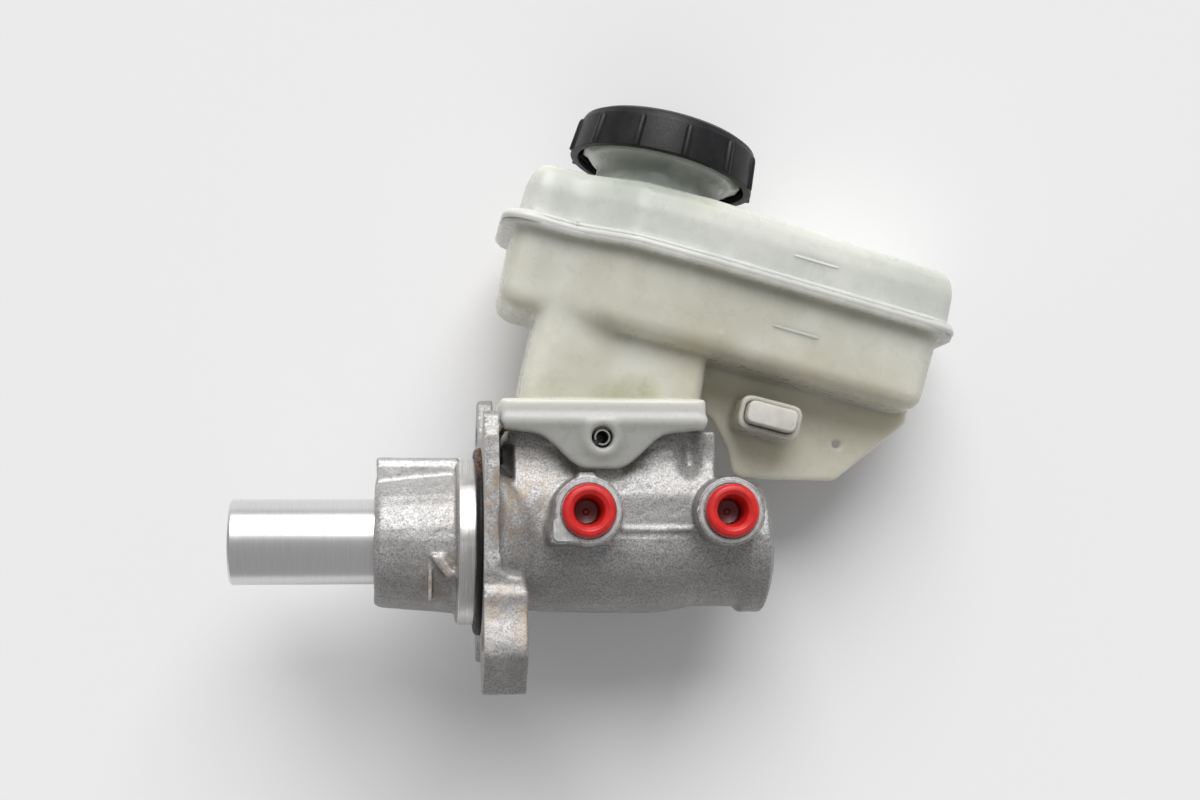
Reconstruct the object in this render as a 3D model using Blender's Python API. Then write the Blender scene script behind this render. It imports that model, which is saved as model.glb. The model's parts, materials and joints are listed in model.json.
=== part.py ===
"""Tandem brake master cylinder with its plastic fluid reservoir.

Every size below is in millimetres and is turned into metres when a mesh is made.
+X runs along the bore from the flange's mounting face to the closed front end, +Z runs up
to the reservoir, and -Y is the side that the outlet ports face. The origin is on the bore's
axis, on the flange's mounting face.
"""

import math

import bmesh
import bpy
from mathutils import Matrix, Vector

MM = 0.001
GAP = 0.3                     # clearance between pieces that touch
LARGE, MEDIUM, SMALL = 36, 28, 20      # sides of a round piece, by its size and how much of it shows

# Bore and what runs in it
BORE_R = 13.5
STEM_R = 11.9
HEAD_R = BORE_R - GAP
BORE_END = 78.5
GUIDE_SEAT = -10.0
GUIDE_R = 15.2
SLEEVE_REAR = -29.2
STEM_REAR = -68.8
PRIMARY_FRONT = 8.0
SECONDARY_REAR = 33.0

NOSE_FRONT, NOSE_R, NOSE_DROP = 82.9, 18.7, 1.6

# Flange and spigot
PLATE = 4.1
EAR = 11.6
SPIGOT_R = 23.2
O_RING_R = 1.37
STUD_HOLE_R = 4.6
STUD_Y, STUD_Z = 22.5, 29.5   # from the bore's axis to each stud
NUT_ROOM_R = 8.6              # kept clear round each stud for its nut

# Ports and saddle
PORT_X = (28.0, 66.9)
PORT_Z = 7.4
PORT_FACE = -28.0
PORT_R = 5.3
SPOT_FACE_R = 7.6             # shallow recess round each port, where its plug's flange sits
FEED_X = (19.5, 48.6)
FEED_DRILLING_X = (15.2, 57.2)
STOP_PIN_X = 50.0
SOCKET_R = 9.5
SADDLE_TOP = 30.1
SOCKET_FLOOR = 22.0
PIN_X, PIN_Z = 32.3, 27.6
PIN_R = 2.3

# Reservoir: its weld plane slopes down to the front
TILT = math.radians(14.1)
WELD_X, WELD_Z = 74.0, 73.2
TANK_REAR, TANK_FRONT, ROOF_FRONT = -67.0, 58.7, 61.2
FLOOR_T = -24.3
ROOF_T = 17.6
CROWN = 1.7
WALL = 2.4
FLANGE_OUT = 4.0
FLANGE_THICK = 2.0
SKIRT = (4.5, 61.2, 24.0, 31.0, 38.3)      # rear, front, half width, bottom, top
CAP_S = -28.9
CAP_RIM_T = 26.6
CAP_HEIGHT = 12.8
CAP_R = 28.0
NECK_R = 18.3
NECK_TOP_T = 34.6

COLOURS = {
    "cast_aluminium": ((0.52, 0.51, 0.49), 0.55, 0.85),
    "aluminium": ((0.82, 0.82, 0.83), 0.28, 1.0),
    "steel": ((0.55, 0.55, 0.56), 0.3, 1.0),
    "rubber": ((0.02, 0.02, 0.02), 0.6, 0.0),
    "red_plastic": ((0.72, 0.05, 0.05), 0.4, 0.0),
    "natural_plastic": ((0.86, 0.86, 0.78), 0.4, 0.0),
    "white_plastic": ((0.88, 0.88, 0.86), 0.4, 0.0),
    "black_plastic": ((0.02, 0.02, 0.022), 0.45, 0.0),
}


# ---------------------------------------------------------------- helpers

def clear_scene():
    for obj in list(bpy.data.objects):
        bpy.data.objects.remove(obj, do_unlink=True)


def material(name):
    found = bpy.data.materials.get(name)
    if found:
        return found
    colour, roughness, metallic = COLOURS[name]
    made = bpy.data.materials.new(name)
    made.use_nodes = True
    shader = made.node_tree.nodes["Principled BSDF"]
    shader.inputs["Base Color"].default_value = (*colour, 1.0)
    shader.inputs["Roughness"].default_value = roughness
    shader.inputs["Metallic"].default_value = metallic
    return made


def to_object(name, bm, finish=None, parent=None):
    """Turns a mesh built in millimetres into an object; with no finish it is a cutter or a tool."""
    bmesh.ops.recalc_face_normals(bm, faces=bm.faces)
    bmesh.ops.scale(bm, vec=(MM, MM, MM), verts=bm.verts)
    mesh = bpy.data.meshes.new(name)
    bm.to_mesh(mesh)
    bm.free()
    mesh.shade_smooth()
    mesh.set_sharp_from_angle(angle=math.radians(35))
    obj = bpy.data.objects.new(name, mesh)
    bpy.context.collection.objects.link(obj)
    obj.parent = parent
    if finish:
        mesh.materials.append(material(finish))
    else:
        obj.hide_render = True
        obj.display_type = "WIRE"
    return obj


def boolean(obj, other, operation, solver):
    step = obj.modifiers.new(operation.lower() + "_" + other.name, "BOOLEAN")
    step.object = other
    step.operation = operation
    step.solver = solver


def join(obj, *others, solver="EXACT"):
    for other in others:
        boolean(obj, other, "UNION", solver)
    return obj


def cut(obj, *others, solver="EXACT"):
    for other in others:
        boolean(obj, other, "DIFFERENCE", solver)
    return obj


def turn_to(axis):
    """The rotation that takes a shape turned about X to another axis."""
    return {
        "X": Matrix.Identity(4),
        "Y": Matrix.Rotation(math.radians(90), 4, "Z"),
        "-Y": Matrix.Rotation(math.radians(-90), 4, "Z"),
        "Z": Matrix.Rotation(math.radians(-90), 4, "Y"),
    }[axis]


def turned(name, outline, finish=None, axis="X", at=(0, 0, 0), steps=SMALL, parent=None):
    """A solid of revolution. outline holds (along, radius); it is closed unless it starts on the axis."""
    bm = bmesh.new()
    points = [bm.verts.new((along, 0, radius)) for along, radius in outline]
    edges = [bm.edges.new(pair) for pair in zip(points, points[1:])]
    if outline[0][1] > 0:
        edges.append(bm.edges.new((points[-1], points[0])))
    bmesh.ops.spin(bm, geom=points + edges, cent=(0, 0, 0), axis=(1, 0, 0), dvec=(0, 0, 0),
                   angle=math.tau, steps=steps, use_merge=True, use_duplicate=False)
    bmesh.ops.remove_doubles(bm, verts=bm.verts, dist=1e-4)
    bmesh.ops.transform(bm, matrix=Matrix.Translation(at) @ turn_to(axis), verts=bm.verts)
    return to_object(name, bm, finish, parent)


def rod(name, radius, low, high, finish=None, axis="X", at=(0, 0, 0), steps=SMALL, parent=None):
    return turned(name, [(low, 0), (low, radius), (high, radius), (high, 0)],
                  finish, axis, at, steps, parent)


def ring(name, inner, outer, low, high, finish=None, axis="X", at=(0, 0, 0), steps=SMALL, parent=None):
    return turned(name, [(low, inner), (low, outer), (high, outer), (high, inner)],
                  finish, axis, at, steps, parent)


def prism(name, outline, axis, low, high, finish=None, parent=None):
    """outline is pushed along axis from low to high: (y, z) for X, (x, z) for Y, (x, y) for Z."""
    place = {
        "X": lambda a, b, c: (c, a, b),
        "Y": lambda a, b, c: (a, c, b),
        "Z": lambda a, b, c: (a, b, c),
    }[axis]
    bm = bmesh.new()
    loops = [[bm.verts.new(place(a, b, c)) for a, b in outline] for c in (low, high)]
    bm.faces.new(loops[0])
    bm.faces.new(loops[1])
    for k in range(len(outline)):
        n = (k + 1) % len(outline)
        bm.faces.new((loops[0][k], loops[0][n], loops[1][n], loops[1][k]))
    return to_object(name, bm, finish, parent)


def loft(name, rings, finish=None, parent=None):
    """Joins rings of points. Each ring runs down one side and back up the other, mirrored in Y."""
    bm = bmesh.new()
    loops = [[bm.verts.new(point) for point in points] for points in rings]
    count = len(rings[0])
    for low, high in zip(loops, loops[1:]):
        for k in range(count):
            n = (k + 1) % count
            bm.faces.new((low[k], low[n], high[n], high[k]))
    for loop in (loops[0], loops[-1]):
        for k in range(count // 2 - 1):
            bm.faces.new((loop[k], loop[k + 1], loop[count - 2 - k], loop[count - 1 - k]))
    return to_object(name, bm, finish, parent)


def rounded(corners, segments=4):
    """A polygon whose corners (a, b, radius) are rounded with arcs."""
    points = []
    count = len(corners)
    for k, (a, b, radius) in enumerate(corners):
        here = Vector((a, b))
        if radius <= 0:
            points.append((a, b))
            continue
        before = (Vector(corners[k - 1][:2]) - here).normalized()
        after = (Vector(corners[(k + 1) % count][:2]) - here).normalized()
        half = before.angle(after) / 2
        reach = radius / math.tan(half)
        centre = here + (before + after).normalized() * radius / math.sin(half)
        start = here + before * reach - centre
        finish = here + after * reach - centre
        sweep = start.angle_signed(finish)
        for step in range(segments + 1):
            turn = Matrix.Rotation(-sweep * step / segments, 2)
            points.append(tuple(centre + turn @ start))
    return points


def helix_spring(name, wire, coil_r, low, high, turns, finish, steps_per_turn=12, sides=5):
    """A compression spring along X: one closed tube with flat caps."""
    bm = bmesh.new()
    total = int(turns * steps_per_turn)
    run = high - low - 2 * wire
    loops = []
    for k in range(total + 1):
        angle = math.tau * k / steps_per_turn
        centre = Vector((low + wire + run * k / total,
                         coil_r * math.cos(angle), coil_r * math.sin(angle)))
        out = Vector((0, math.cos(angle), math.sin(angle)))
        along = Vector((run / (turns * math.tau * coil_r), -math.sin(angle), math.cos(angle)))
        side = along.normalized().cross(out)
        loops.append([
            bm.verts.new(centre + wire * (out * math.cos(math.tau * j / sides)
                                          + side * math.sin(math.tau * j / sides)))
            for j in range(sides)
        ])
    for low_loop, high_loop in zip(loops, loops[1:]):
        for j in range(sides):
            n = (j + 1) % sides
            bm.faces.new((low_loop[j], low_loop[n], high_loop[n], high_loop[j]))
    bm.faces.new(loops[0])
    bm.faces.new(loops[-1])
    return to_object(name, bm, finish)


def c_ring(inner, outer, gap_degrees, steps=28):
    """The outline of an open ring in the YZ plane, with its gap at the bottom."""
    start = math.radians(270 + gap_degrees / 2)
    sweep = math.radians(360 - gap_degrees)
    turns = [start + sweep * k / steps for k in range(steps + 1)]
    outside = [(outer * math.cos(a), outer * math.sin(a)) for a in turns]
    inside = [(inner * math.cos(a), inner * math.sin(a)) for a in reversed(turns)]
    return outside + inside


# ---------------------------------------------------------------- cylinder

def barrel_outline():
    """Half profile of the casting's barrel, down to the waist behind its front collar."""
    return [(2.0, 0), (2.0, 19.4), (16, 19.7), (34, 20.5), (50, 20.5), (56, 19.6), (60, 18.7),
            (73, 18.7), (74.5, 17), (74.5, 0)]


def nose_outline():
    """The front collar and its domed end, which sit NOSE_DROP below the bore's axis."""
    dome = [(NOSE_FRONT - 3.2 * (k / 5) ** 3.2, NOSE_R * k / 5) for k in (5, 4, 3, 2, 1)]
    return [(64, 0), (64, 15.5), (71.5, 16.8), (74, NOSE_R)] + dome + [(NOSE_FRONT, 0)]


def sleeve_outline():
    return [(2.5, 0), (2.5, SPIGOT_R - 0.2), (-0.2, SPIGOT_R - 0.2), (-2.2, SPIGOT_R), (-6.2, SPIGOT_R),
            (-6.9, 22.4), (-6.9, 20.1), (-8.6, 20.1), (-18, 19.2), (-27.6, 18.3),
            (SLEEVE_REAR, 17.4), (SLEEVE_REAR, 0)]


def flange_outline():
    """The plate in (y, z): a stud ear below on the near side, a plain corner above it, and the
    same again turned half a turn about the bore."""
    half = [(-31, -9.5, 3), (-34, -14, 3), (-34, -31, 2), (-24, -41.3, 2), (-12, -41.3, 3),
            (-5, -29, 4), (13, -28, 4), (22, -35, 2), (27.5, -34, 2), (31, -28, 3)]
    return rounded(half + [(-y, -z, r) for y, z, r in half], 2)


def ear_outline(side):
    """The thick part round a stud, a hair inside the plate's outline."""
    corners = [(-25, -7, 3), (-31.5, -10, 3), (-33.9, -14.5, 3), (-33.9, -30.9, 2), (-23.9, -41.2, 2),
               (-12.5, -41.2, 3), (-7, -26, 3)]
    return rounded([(side * y, side * z, r) for y, z, r in corners], 2)


def saddle():
    """The block under the reservoir: two round feed towers, the wall between them and the pin lug."""
    towers = [rod(f"feed_tower_{k}", 12.9, 2, SADDLE_TOP, axis="Z", at=(x, 0, 0), steps=MEDIUM)
              for k, x in enumerate(FEED_X)]
    wall = prism("saddle_wall", rounded([(8.0, -10, 3), (62.5, -10, 3), (62.5, 10, 3), (8.0, 10, 3)], 2),
                 "Z", 3, SADDLE_TOP - 0.5)
    lug = prism("pin_lug", rounded([(26.5, -19.4, 2), (38.5, -19.4, 2), (38.5, 19.4, 2), (26.5, 19.4, 2)], 2),
                "Z", 10, SADDLE_TOP - 0.3)
    rail = prism("saddle_rail", rounded([(6.1, -17.5, 4), (64.1, -17.5, 4), (64.1, 17.5, 4),
                                         (6.1, 17.5, 4)], 2), "Z", 26.4, SADDLE_TOP - 0.1)
    return towers + [wall, lug, rail]


def port_bosses():
    made = []
    for k, x in enumerate(PORT_X):
        made.append(rod(f"port_boss_{k}", 9.6 - 0.1 * k, 6, -PORT_FACE, axis="-Y",
                        at=(x, 0, PORT_Z), steps=MEDIUM))
    made.append(prism("port_boss_heel", [(17.2, -1.6), (34, -1.6), (34, 4), (19.5, 9), (17.2, 3)],
                      "Y", PORT_FACE + 0.4, -8))
    made.append(prism("port_boss_tab", [(24.8, 14), (30.4, 14), (29.9, 17.9), (25.3, 17.9)],
                      "Y", PORT_FACE + 0.7, -8))
    return made


def bore_cutters():
    bore = turned("bore_cut", [
        (SLEEVE_REAR - 2, 0), (SLEEVE_REAR - 2, GUIDE_R + 0.6), (SLEEVE_REAR, GUIDE_R + 0.6),
        (SLEEVE_REAR + 0.6, GUIDE_R), (-26.6, GUIDE_R), (-26.6, 16.4), (-24.6, 16.4), (-24.6, GUIDE_R),
        (GUIDE_SEAT, GUIDE_R), (GUIDE_SEAT, BORE_R), (BORE_END - 2, BORE_R), (BORE_END, BORE_R - 5),
        (BORE_END, 0)], steps=LARGE)
    made = [bore, ring("o_ring_recess", 20, 26.2, -1, 1.3, steps=LARGE)]
    for k, x in enumerate(PORT_X):
        made.append(turned(f"port_cut_{k}", [
            (9, 0), (9, 2.0), (17.5, 2.0), (19.0, PORT_R - 0.5), (27.0, PORT_R), (27.7, PORT_R + 0.7),
            (27.7, SPOT_FACE_R), (30, SPOT_FACE_R), (30, 0)], axis="-Y", at=(x, 0, PORT_Z), steps=24))
    for k, x in enumerate(FEED_X):
        made.append(rod(f"socket_cut_{k}", SOCKET_R, SOCKET_FLOOR, SADDLE_TOP + 2,
                        axis="Z", at=(x, 0, 0), steps=24))
    for k, x in enumerate(FEED_DRILLING_X):
        made.append(rod(f"feed_drilling_{k}", 0.9, 5, SOCKET_FLOOR + 2, axis="Z", at=(x, 0, 0), steps=10))
    made.append(rod("stop_pin_cut", 1.8, 8, SOCKET_FLOOR + 2, axis="Z", at=(STOP_PIN_X, 0, 0), steps=14))
    made.append(rod("roll_pin_cut", PIN_R + GAP, -25, 25, axis="Y", at=(PIN_X, 0, PIN_Z), steps=20))
    for side in (-1, 1):
        made.append(rod(f"stud_cut_{side + 1}", STUD_HOLE_R, -2, EAR + 2,
                        at=(0, side * STUD_Y, side * STUD_Z), steps=24))
    return made


def cylinder_body():
    body = turned("cylinder_body", barrel_outline(), "cast_aluminium", steps=LARGE)
    tools = [turned("sleeve", sleeve_outline(), steps=LARGE),
             turned("nose", nose_outline(), at=(0, 0, -NOSE_DROP), steps=LARGE),
             prism("sleeve_rib", rounded([(-8.5, 5, 0), (8.5, 5, 0), (8.5, 23.2, 2.5), (-8.5, 23.2, 2.5)], 2),
                   "X", SLEEVE_REAR + 0.4, -6.4),
             prism("flange_plate", flange_outline(), "X", 0, PLATE),
             prism("ear_low", ear_outline(1), "X", 0.4, EAR),
             prism("ear_high", ear_outline(-1), "X", 0.4, EAR)]
    skirt_relief = prism("skirt_relief", [(-30, 30.6), (25.3, 30.6), (25.3, 45), (-30, 45)], "X", PLATE, 20)
    nut_relief = rod("nut_relief", NUT_ROOM_R, EAR, 26, at=(0, STUD_Y, STUD_Z), steps=24)
    high_boss = rod("high_boss", NUT_ROOM_R - GAP, 0.4, EAR, at=(0, STUD_Y, STUD_Z), steps=24)
    # Many round shapes cross one another in the casting, where the exact solver leaves open edges.
    join(body, *tools, *saddle(), *port_bosses(), solver="MANIFOLD")
    cut(body, skirt_relief, nut_relief, solver="MANIFOLD")
    join(body, high_boss, solver="MANIFOLD")
    return cut(body, *bore_cutters(), solver="MANIFOLD")


def seals_and_guide():
    turned("flange_o_ring", [(-0.42 + O_RING_R * math.cos(a), 24.9 + O_RING_R * math.sin(a))
                             for a in (math.tau * k / 8 for k in range(8))], "rubber", steps=LARGE)
    turned("piston_guide", [(-23.7, 12.2), (-23.7, 14.9), (-16.6, 14.9), (-16.6, 13.95), (-13.9, 13.95),
                            (-13.9, 14.9), (-10.3, 14.9), (-10.3, 12.2), (-15.2, 12.2), (-15.2, 13.3),
                            (-19.4, 13.3), (-19.4, 12.2)], "aluminium", steps=MEDIUM)
    turned("guide_stem_seal", [(-19.1, 12.15), (-19.1, 13.0), (-15.5, 13.0), (-15.5, 12.15)],
           "rubber")
    turned("guide_outer_seal", [(-16.3, 14.25), (-16.3, 14.95), (-14.2, 14.95), (-14.2, 14.25)],
           "rubber")
    prism("guide_snap_ring", c_ring(13.0, 16.0, 36), "X", -26.3, -24.9, "steel")


# ---------------------------------------------------------------- pistons

def primary_piston_group():
    turned("primary_piston", [
        (-24, 0), (-27, 8.6), (STEM_REAR + 0.6, 8.6), (STEM_REAR, 9.2), (STEM_REAR, 11.3),
        (STEM_REAR + 0.6, STEM_R), (-10.0, STEM_R),
        (-9.7, HEAD_R), (-8.0, HEAD_R), (-8.0, 10.6), (-4.4, 10.6), (-4.4, HEAD_R), (-2.8, HEAD_R),
        (-1.8, 9.6), (3.6, 9.6), (4.8, HEAD_R), (PRIMARY_FRONT, HEAD_R), (PRIMARY_FRONT, 8.0),
        (12.6, 8.0), (13.4, 7.2), (13.4, 5.7), (6.2, 5.7), (6.2, 2.6), (0.5, 2.6), (-0.5, 0)],
        "aluminium", steps=LARGE)
    turned("primary_rear_seal", [(-7.7, 10.9), (-7.7, 12.3), (-6.9, HEAD_R), (-4.7, HEAD_R),
                                 (-4.7, 12.6), (-5.6, 11.9), (-4.7, 11.4), (-4.7, 10.9)], "rubber")
    turned("primary_cup", [(8.3, 8.3), (8.3, 12.8), (8.8, HEAD_R), (12.8, HEAD_R), (12.8, 12.7),
                           (10.4, 11.8), (10.4, 9.6), (12.6, 8.9), (12.6, 8.3)], "rubber")
    turned("primary_spring_screw", [(1.0, 0), (1.0, 2.3), (19.2, 2.3), (19.2, 3.9), (21.4, 3.9),
                                    (22.0, 3.3), (22.0, 0)], "steel", steps=20)


def primary_spring_group():
    turned("primary_spring_seat", [(18.0, 2.6), (18.0, 5.3), (31.8, 5.3), (31.8, 10.2), (32.7, 10.2),
                                   (32.7, 4.3), (18.9, 4.3), (18.9, 2.6)], "steel")
    helix_spring("primary_spring", 1.0, 9.2, 13.8, 31.4, 3.0, "steel")


def secondary_piston_group():
    rear = SECONDARY_REAR
    turned("secondary_piston", [
        (rear + 4.6, 0), (rear + 4.0, 5.6), (rear, 5.6), (rear, HEAD_R), (rear + 1.6, HEAD_R),
        (rear + 1.6, 9.6), (rear + 5.4, 9.6), (rear + 5.4, HEAD_R), (39.4, HEAD_R), (39.4, 9.4),
        (51.8, 9.4), (51.8, HEAD_R), (53.4, HEAD_R), (53.4, 7.6), (58.2, 7.6), (58.7, 7.0), (58.7, 0)],
        "aluminium", steps=MEDIUM)
    turned("secondary_rear_cup", [(rear + 1.9, 9.9), (rear + 1.9, 10.6), (rear + 3.8, 11.4),
                                  (rear + 1.9, 12.5), (rear + 1.9, HEAD_R), (rear + 4.8, HEAD_R),
                                  (rear + 5.1, 12.7), (rear + 5.1, 9.9)], "rubber")
    turned("secondary_front_cup", [(53.7, 7.9), (53.7, 12.8), (54.2, HEAD_R), (56.2, HEAD_R), (56.2, 12.6),
                                   (55.2, 11.8), (55.2, 9.6), (56.2, 8.8), (56.2, 7.9)], "rubber")
    helix_spring("secondary_spring", 0.9, 9.0, 56.6, 77.6, 4.0, "steel")
    rod("piston_stop_pin", 1.5, 9.8, SOCKET_FLOOR + 0.2, "steel", axis="Z", at=(STOP_PIN_X, 0, 0), steps=14)


# ---------------------------------------------------------------- ports and reservoir joints

def port_plug(name, x):
    """A push-in transit plug: a flanged cup with a bell mouth, closed at its inner end."""
    turned(name, [
        (19.6, 0), (19.6, 3.9), (20.4, 4.6), (27.6, 4.9), (28.3, 5.3), (28.3, 6.9), (28.7, 7.25), (30.3, 7.25),
        (31.0, 6.6), (31.2, 5.6), (30.2, 4.3), (27.5, 3.7), (21.4, 3.3), (21.0, 0)],
        "red_plastic", axis="-Y", at=(x, 0, PORT_Z), steps=MEDIUM)


def grommet(name, x):
    turned(name, [
        (SOCKET_FLOOR + GAP, 6.6), (SOCKET_FLOOR + GAP, 9.0), (29.8, 9.15), (30.4, 9.5), (30.4, 10.2),
        (32.6, 10.2), (33.2, 9.6), (33.2, 6.6), (31.0, 6.4), (28, 6.35), (25, 6.4)],
        "rubber", axis="Z", at=(x, 0, 0), steps=24)


def roll_pin():
    """A slotted spring pin: a rolled steel tube with an open seam."""
    outline = c_ring(PIN_R - 0.65, PIN_R, 40, steps=16)
    turn = math.radians(-50)
    spun = [(PIN_X + a * math.cos(turn) - b * math.sin(turn),
             PIN_Z + a * math.sin(turn) + b * math.cos(turn)) for a, b in outline]
    prism("reservoir_roll_pin", spun, "Y", -24.0, 24.0, "steel")


# ---------------------------------------------------------------- reservoir

def plan(offset, segments=3, end=TANK_FRONT):
    """The tank's outline in (s, y), pulled in by offset: a narrow rear lobe, then wide, tapering forward."""
    rear, front = TANK_REAR + offset, end - offset
    corner = max(7.0 - offset, 1.5)
    side = [(rear, 20.8 - offset, corner), (-50, 19.0 - offset, 12), (-34, 26.0 - offset, 10),
            (-14, 25.6 - offset, 0), (front, 18.6 - offset, corner)]
    near = rounded([(s, -y, r) for s, y, r in side] + [(s, y, r) for s, y, r in reversed(side)], segments)
    half = len(near) // 2
    return near[:half] + [(s, -y) for s, y in reversed(near[:half])]


def crown(s):
    return CROWN * (1 - ((s + 4) / 63) ** 2)


def level(offset, t, rise=0.0, end=TANK_FRONT):
    return [(s, y, t + rise * crown(s)) for s, y in plan(offset, end=end)]


def tilted_frame():
    frame = bpy.data.objects.new("reservoir_frame", None)
    bpy.context.collection.objects.link(frame)
    frame.location = (WELD_X * MM, 0, WELD_Z * MM)
    frame.rotation_euler = (0, TILT, 0)
    return frame


def leg(name, shrink, low, high, finish=None):
    """The saddle leg between tank and skirt, wider at its foot; it is built upright."""
    rings = []
    for z, rear, front, half in ((low, 9.9, 61.3, 16.8), (45, 11.2, 62.6, 17.6), (high, 16.2, 65.5, 18.2)):
        corners = [(rear + shrink, -half + shrink), (front - shrink, -half + shrink)]
        side = rounded([(a, b, 5 - shrink) for a, b in corners]
                       + [(a, -b, 5 - shrink) for a, b in reversed(corners)], 3)
        half_count = len(side) // 2
        run = side[:half_count] + [(a, -b) for a, b in reversed(side[:half_count])]
        rings.append([(a, b, z) for a, b in run])
    return loft(name, rings, finish)


def tab_outline():
    """The bell-shaped tab that the roll pin goes through, in (x, z)."""
    def bottom(x):
        away = min(max((abs(x - PIN_X) - 3.7) / 15.6, 0), 1)
        return 19.0 + 9.8 * (1 - math.cos(math.pi * away)) / 2
    rear, front = SKIRT[0] + 1.0, SKIRT[1] - 0.6
    steps = 18
    low = [(rear, 29.6)] + [(PIN_X - 19.3 + 38.6 * k / steps, bottom(PIN_X - 19.3 + 38.6 * k / steps))
                            for k in range(steps + 1)] + [(front, 29.6)]
    return low + [(front, 33), (rear, 33)]


def sensor_tunnel(name, shrink, low, high, frame, finish=None):
    """The slanting rounded box of the sensor's tunnel, made smaller all round by shrink."""
    corners = [(7.2, -41.2), (25.2, -41.2), (25.2, -31.2), (7.2, -31.2)]
    middle = (16.2, -36.2)
    outline = rounded([(s + (shrink if s < middle[0] else -shrink),
                        t + (shrink if t < middle[1] else -shrink), 2.6 - shrink / 2)
                       for s, t in corners], 3)
    return prism(name, outline, "Y", low, high, finish, frame)


def lower_shell(frame):
    rear, front, half, bottom, top = SKIRT
    shell = loft("reservoir_lower", [level(5.5, FLOOR_T), level(2.2, FLOOR_T + 1.4), level(0.9, FLOOR_T + 4),
                                     level(0.2, -4), level(0, -0.15)], "natural_plastic", frame)
    rim = prism("lower_weld_rim", plan(-FLANGE_OUT), "Z", -0.15 - FLANGE_THICK, -0.15, parent=frame)
    tray = prism("skirt_tray", rounded([(rear, -half, 1.5), (front, -half, 1.5), (front, half, 1.5),
                                        (rear, half, 1.5)], 2), "Z", bottom, top)
    band = prism("skirt_band", rounded([(rear, -half - 0.6, 1), (front + 0.4, -half - 0.6, 1),
                                        (front + 0.4, half + 0.6, 1), (rear, half + 0.6, 1)], 2),
                 "Z", bottom, bottom + 2.5)
    plate = prism("centre_plate", [(58, 52), (60, 40), (67.0, 34.5), (71.3, 26.1), (72.6, 19.3), (75.0, 17.8),
                                   (102.4, 17.2), (124.0, 33.8), (126, 42), (100, 52)], "Y", -1.4, 1.4)
    tabs = [prism(f"pin_tab_{k}", tab_outline(), "Y", low, high)
            for k, (low, high) in enumerate(((-24.2, -21.4), (21.4, 24.2)))]
    bosses = [rod(f"pin_boss_{k}", 5.4, low, high, axis="Y", at=(PIN_X, 0, PIN_Z), steps=28)
              for k, (low, high) in enumerate(((-25.2, -21.2), (21.2, 25.2)))]
    nipples = [rod(f"nipple_{k}", 6.0, 25.5, 40, axis="Z", at=(x, 0, 0), steps=28)
               for k, x in enumerate(FEED_X)]
    join(shell, rim, leg("leg_outer", 0, 36.5, 68))
    tray_cut = prism("tray_cut", rounded([(rear + 2, -half + 2.4, 1), (front - 2, -half + 2.4, 1),
                                          (front - 2, half - 2.4, 1), (rear + 2, half - 2.4, 1)], 2),
                     "Z", bottom - 1, top - 2.3)
    foot = cut(join(tray, band), tray_cut)
    join(shell, foot, plate, *tabs, *bosses, *nipples, sensor_tunnel("tunnel_outer", 0, -15.5, 1.2, frame))
    tank_cut = loft("tank_cut", [level(7.5, FLOOR_T + WALL), level(4.4, FLOOR_T + WALL + 1.6),
                                 level(3.2, FLOOR_T + WALL + 4), level(WALL, -4), level(WALL, 2)],
                    parent=frame)
    cutters = [tank_cut, leg("leg_cut", 2.6, 38.6, 68.4),
               sensor_tunnel("tunnel_cut", 1.5, -17, -2.0, frame),
               rod("plate_hole", 1.3, -3, 3, axis="Y", at=(103.2, 0, 27.8), steps=14)]
    cutters.append(rod("stud_nut_room", NUT_ROOM_R, 0, 26, at=(0, STUD_Y, STUD_Z), steps=24))
    for k, x in enumerate(FEED_X):
        cutters.append(rod(f"nipple_cut_{k}", 4.2, 24, 42, axis="Z", at=(x, 0, 0), steps=20))
    for k, (low, high) in enumerate(((-27, -19), (19, 27))):
        cutters.append(rod(f"pin_hole_{k}", 3.0, low, high, axis="Y", at=(PIN_X, 0, PIN_Z), steps=20))
    return cut(shell, *cutters)


def upper_shell(frame):
    outside = ((0.6, 0.15, 0), (0.8, 11, 0), (1.9, 14.8, 0.6), (3.8, 16.9, 0.9), (7.0, ROOF_T, 1))
    shell = loft("reservoir_upper", [level(*ring, end=ROOF_FRONT) for ring in outside], "natural_plastic", frame)
    rim = prism("upper_weld_rim", plan(-FLANGE_OUT + 0.3), "Z", 0.15, 0.15 + FLANGE_THICK, parent=frame)
    neck = turned("neck_outer", [(14, 0), (14, 19.6), (19.6, 19.0), (22.5, NECK_R), (25.5, NECK_R + 0.4),
                                 (26.8, 21.6), (33.6, 21.9), (NECK_TOP_T, 21.2), (NECK_TOP_T, 0)],
                  axis="Z", at=(CAP_S, 0, 0), steps=MEDIUM, parent=frame)
    lugs = [prism(f"thread_lug_{k}", [(CAP_S + side * 18, -5), (CAP_S + side * 23.4, -4),
                                      (CAP_S + side * 23.4, 4), (CAP_S + side * 18, 5)],
                  "Z", 27.6, 29.6, parent=frame) for k, side in enumerate((-1, 1))]
    join(shell, rim, neck, *lugs)
    roof_cut = loft("roof_cut", [level(WALL + 0.6, -2), level(WALL + 0.8, 10.5), level(4.4, 13.4, 0.6),
                                 level(8.5, ROOF_T - WALL, 1)], parent=frame)
    neck_cut = turned("neck_cut", [(8, 0), (8, 16.2), (24.5, 16.2), (27.0, 18.6), (38, 18.6), (38, 0)],
                      axis="Z", at=(CAP_S, 0, 0), steps=MEDIUM, parent=frame)
    return cut(shell, roof_cut, neck_cut)


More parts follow.
